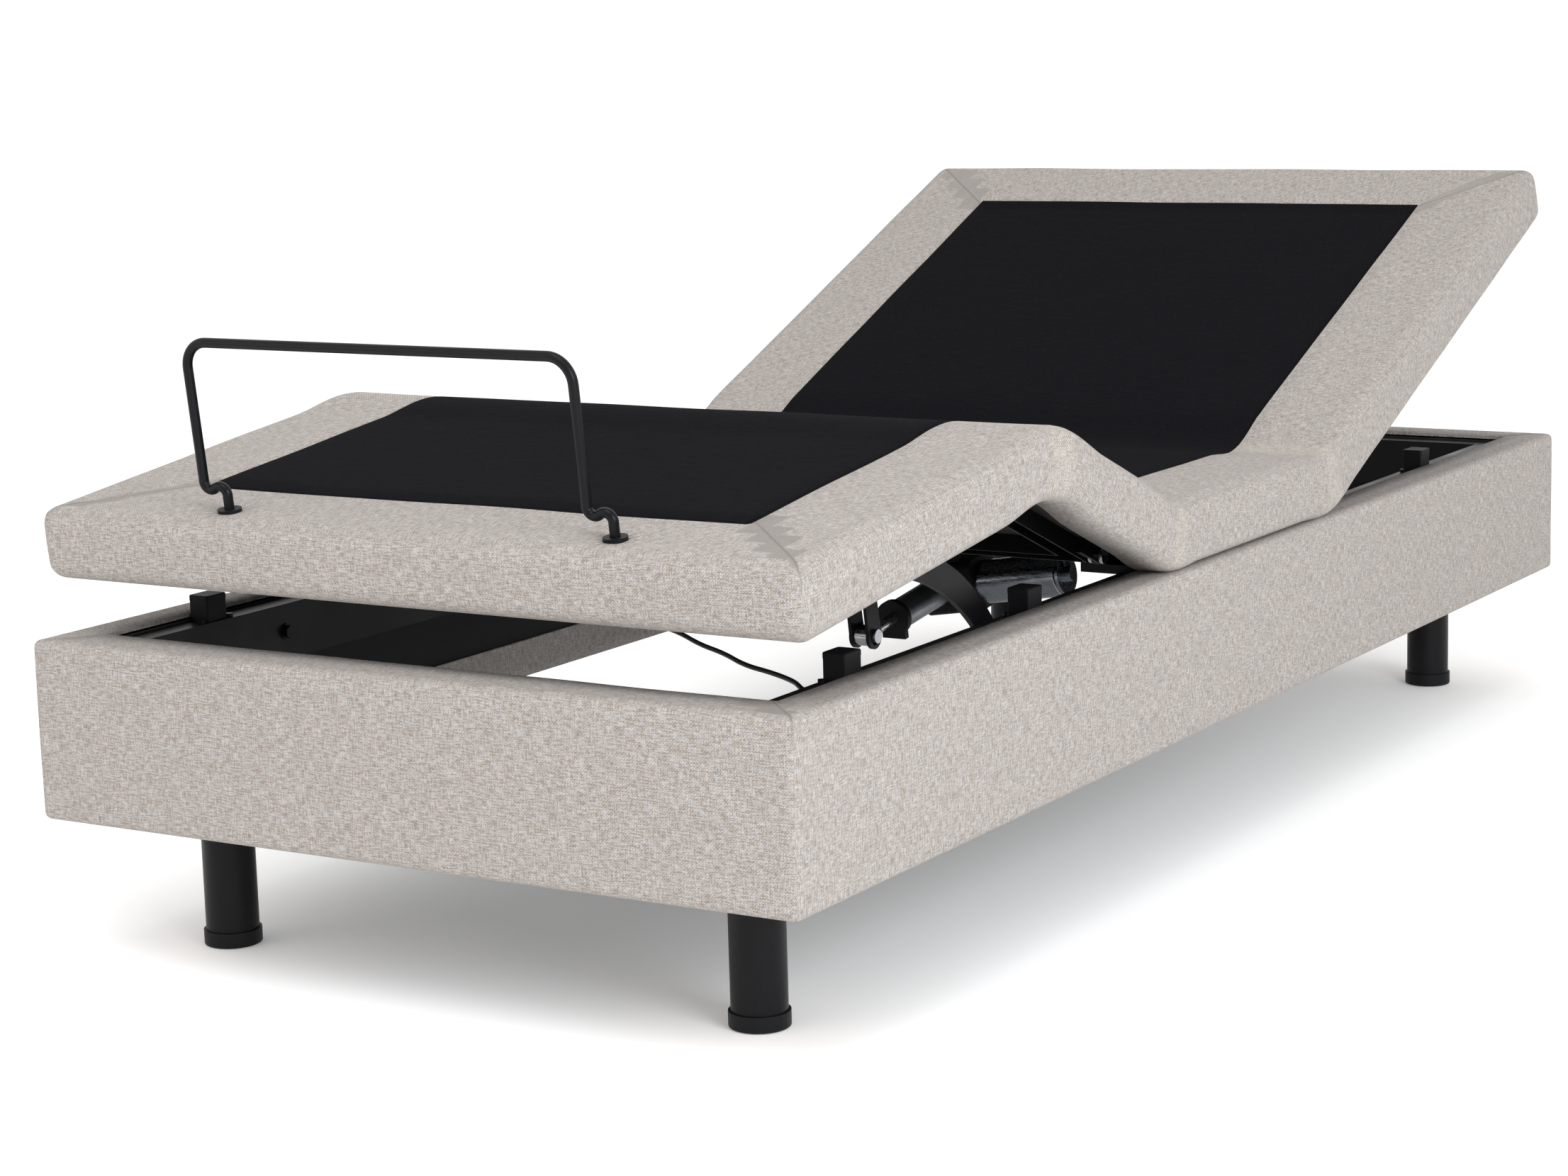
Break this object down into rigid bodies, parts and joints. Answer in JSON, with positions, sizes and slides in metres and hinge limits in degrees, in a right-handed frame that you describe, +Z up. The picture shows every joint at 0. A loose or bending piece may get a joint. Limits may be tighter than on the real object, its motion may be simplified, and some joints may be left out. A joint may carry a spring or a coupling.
{
  "type": "adjustable bed base",
  "caption": "Upholstered bed base on legs with a motor-driven folding platform for back, thighs and lower legs, and a lift-out bar that holds the mattress end.",
  "frame": {"origin": "on the floor under the middle of the box", "axes": "+X to the right seen from the foot, +Y towards the head end, +Z up"},
  "size_m": [0.9, 2, 0.6976],
  "materials": {
    "linen": "plain-weave linen-look upholstery in heathered beige and brown",
    "lining": "black non-woven cloth",
    "panel_wood": "raw particle board",
    "batten_wood": "raw softwood",
    "plywood": "plywood deck",
    "rail_steel": "black powder coat, satin",
    "frame_steel": "black powder coat, satin",
    "leg_steel": "black powder coat, satin",
    "black_plastic": "black moulded plastic, fine texture",
    "zinc": "bright zinc plate",
    "bar_metal": "black powder coat, satin, fine texture",
    "tube_aluminium": "satin anodised",
    "cable_sheath": "black PVC sheath"
  },
  "bodies": {
    "base": {"side_panel_right": "panel_wood", "side_panel_left": "panel_wood", "head_panel": "panel_wood", "foot_panel": "panel_wood", "rim_battens": "batten_wood", "base_upholstery": "linen", "inner_lining": "lining", "rail_right": "rail_steel", "rail_left": "rail_steel", "rail_head": "rail_steel", "rail_foot": "rail_steel", "rail_posts": "black_plastic", "post_caps": "black_plastic", "seat_brackets": "frame_steel", "frame_bolts": "zinc", "leg_foot_left": "leg_steel", "leg_foot_right": "leg_steel", "leg_head_left": "leg_steel", "leg_head_right": "leg_steel", "corner_blocks": "batten_wood", "leg_caps": "black_plastic", "seat_frame": "frame_steel", "seat_deck": "plywood", "seat_pad": "linen", "back_hinge_pins": "zinc", "thigh_hinge_pins": "zinc", "link_pivots": "zinc", "actuator_pivot_pins": "zinc", "control_box": "black_plastic", "cable_glands": "black_plastic", "handset_cable": "cable_sheath"},
    "back_section": {"back_frame": "frame_steel", "back_deck": "plywood", "back_pad": "linen"},
    "thigh_section": {"thigh_frame": "frame_steel", "thigh_deck": "plywood", "thigh_pad": "linen", "knee_hinge_pins": "zinc"},
    "calf_section": {"calf_frame": "frame_steel", "calf_deck": "plywood", "calf_pad": "linen", "bar_sockets": "frame_steel", "bar_grommets": "black_plastic"},
    "retainer_bar": {"retainer_bar": "bar_metal"},
    "calf_links": {"calf_link_left": "frame_steel", "calf_link_right": "frame_steel"},
    "foot_actuator": {"foot_actuator_gearbox": "black_plastic", "foot_actuator_motor": "zinc", "foot_actuator_outer_tube": "tube_aluminium", "foot_actuator_end_cap": "black_plastic", "foot_actuator_lead": "cable_sheath"},
    "foot_rod": {"foot_actuator_rod": "zinc", "foot_actuator_rod_pin": "zinc"},
    "head_actuator": {"head_actuator_gearbox": "black_plastic", "head_actuator_motor": "zinc", "head_actuator_outer_tube": "tube_aluminium", "head_actuator_end_cap": "black_plastic", "head_actuator_lead": "cable_sheath"},
    "head_rod": {"head_actuator_rod": "zinc", "head_actuator_rod_pin": "zinc"}
  },
  "joints": [
    {"name": "back_lift", "type": "hinge", "parent": "base", "child": "back_section", "pos_m": [0, 0.226, 0.346], "axis": [1, 0, 0], "range_deg": [-22.5, 37.5]},
    {"name": "thigh_lift", "type": "hinge", "parent": "base", "child": "thigh_section", "pos_m": [0, -0.208, 0.346], "axis": [-1, 0, 0], "range_deg": [-23, 12]},
    {"name": "knee_bend", "type": "hinge", "parent": "thigh_section", "child": "calf_section", "pos_m": [0, -0.48047, 0.46166], "axis": [1, 0, 0], "range_deg": [-30.6, 15.96]},
    {"name": "calf_link_swing", "type": "hinge", "parent": "base", "child": "calf_links", "pos_m": [0, -0.47, 0.302], "axis": [-1, 0, 0], "range_deg": [-29.32, 15.3]},
    {"name": "foot_actuator_pivot", "type": "hinge", "parent": "base", "child": "foot_actuator", "pos_m": [0.06, 0.052, 0.271], "axis": [1, 0, 0], "range_deg": [-0.132, 0.253]},
    {"name": "foot_rod_slide", "type": "slide", "parent": "foot_actuator", "child": "foot_rod", "axis": [0, -0.9909, -0.1344], "range_m": [-0.04463, 0.02329]},
    {"name": "head_actuator_pivot", "type": "hinge", "parent": "base", "child": "head_actuator", "pos_m": [-0.08, -0.095, 0.29], "axis": [1, 0, 0], "range_deg": [-0.248, 0.413]},
    {"name": "head_rod_slide", "type": "slide", "parent": "head_actuator", "child": "head_rod", "axis": [0, 0.9988, -0.0493], "range_m": [-0.02744, 0.04573]},
    {"name": "retainer_lift", "type": "slide", "parent": "calf_section", "child": "retainer_bar", "axis": [0, -0.1219, 0.9925], "range_m": [0, 0.06]}
  ],
  "couplings": [
    {"joint": "knee_bend", "follows": "thigh_lift", "ratio": 1.3043},
    {"joint": "calf_link_swing", "follows": "thigh_lift", "ratio": 1.25},
    {"joint": "foot_actuator_pivot", "follows": "thigh_lift", "ratio": -0.01},
    {"joint": "foot_rod_slide", "follows": "thigh_lift", "m_per_rad": 0.109},
    {"joint": "head_actuator_pivot", "follows": "back_lift", "ratio": 0.01},
    {"joint": "head_rod_slide", "follows": "back_lift", "m_per_rad": 0.0685}
  ]
}
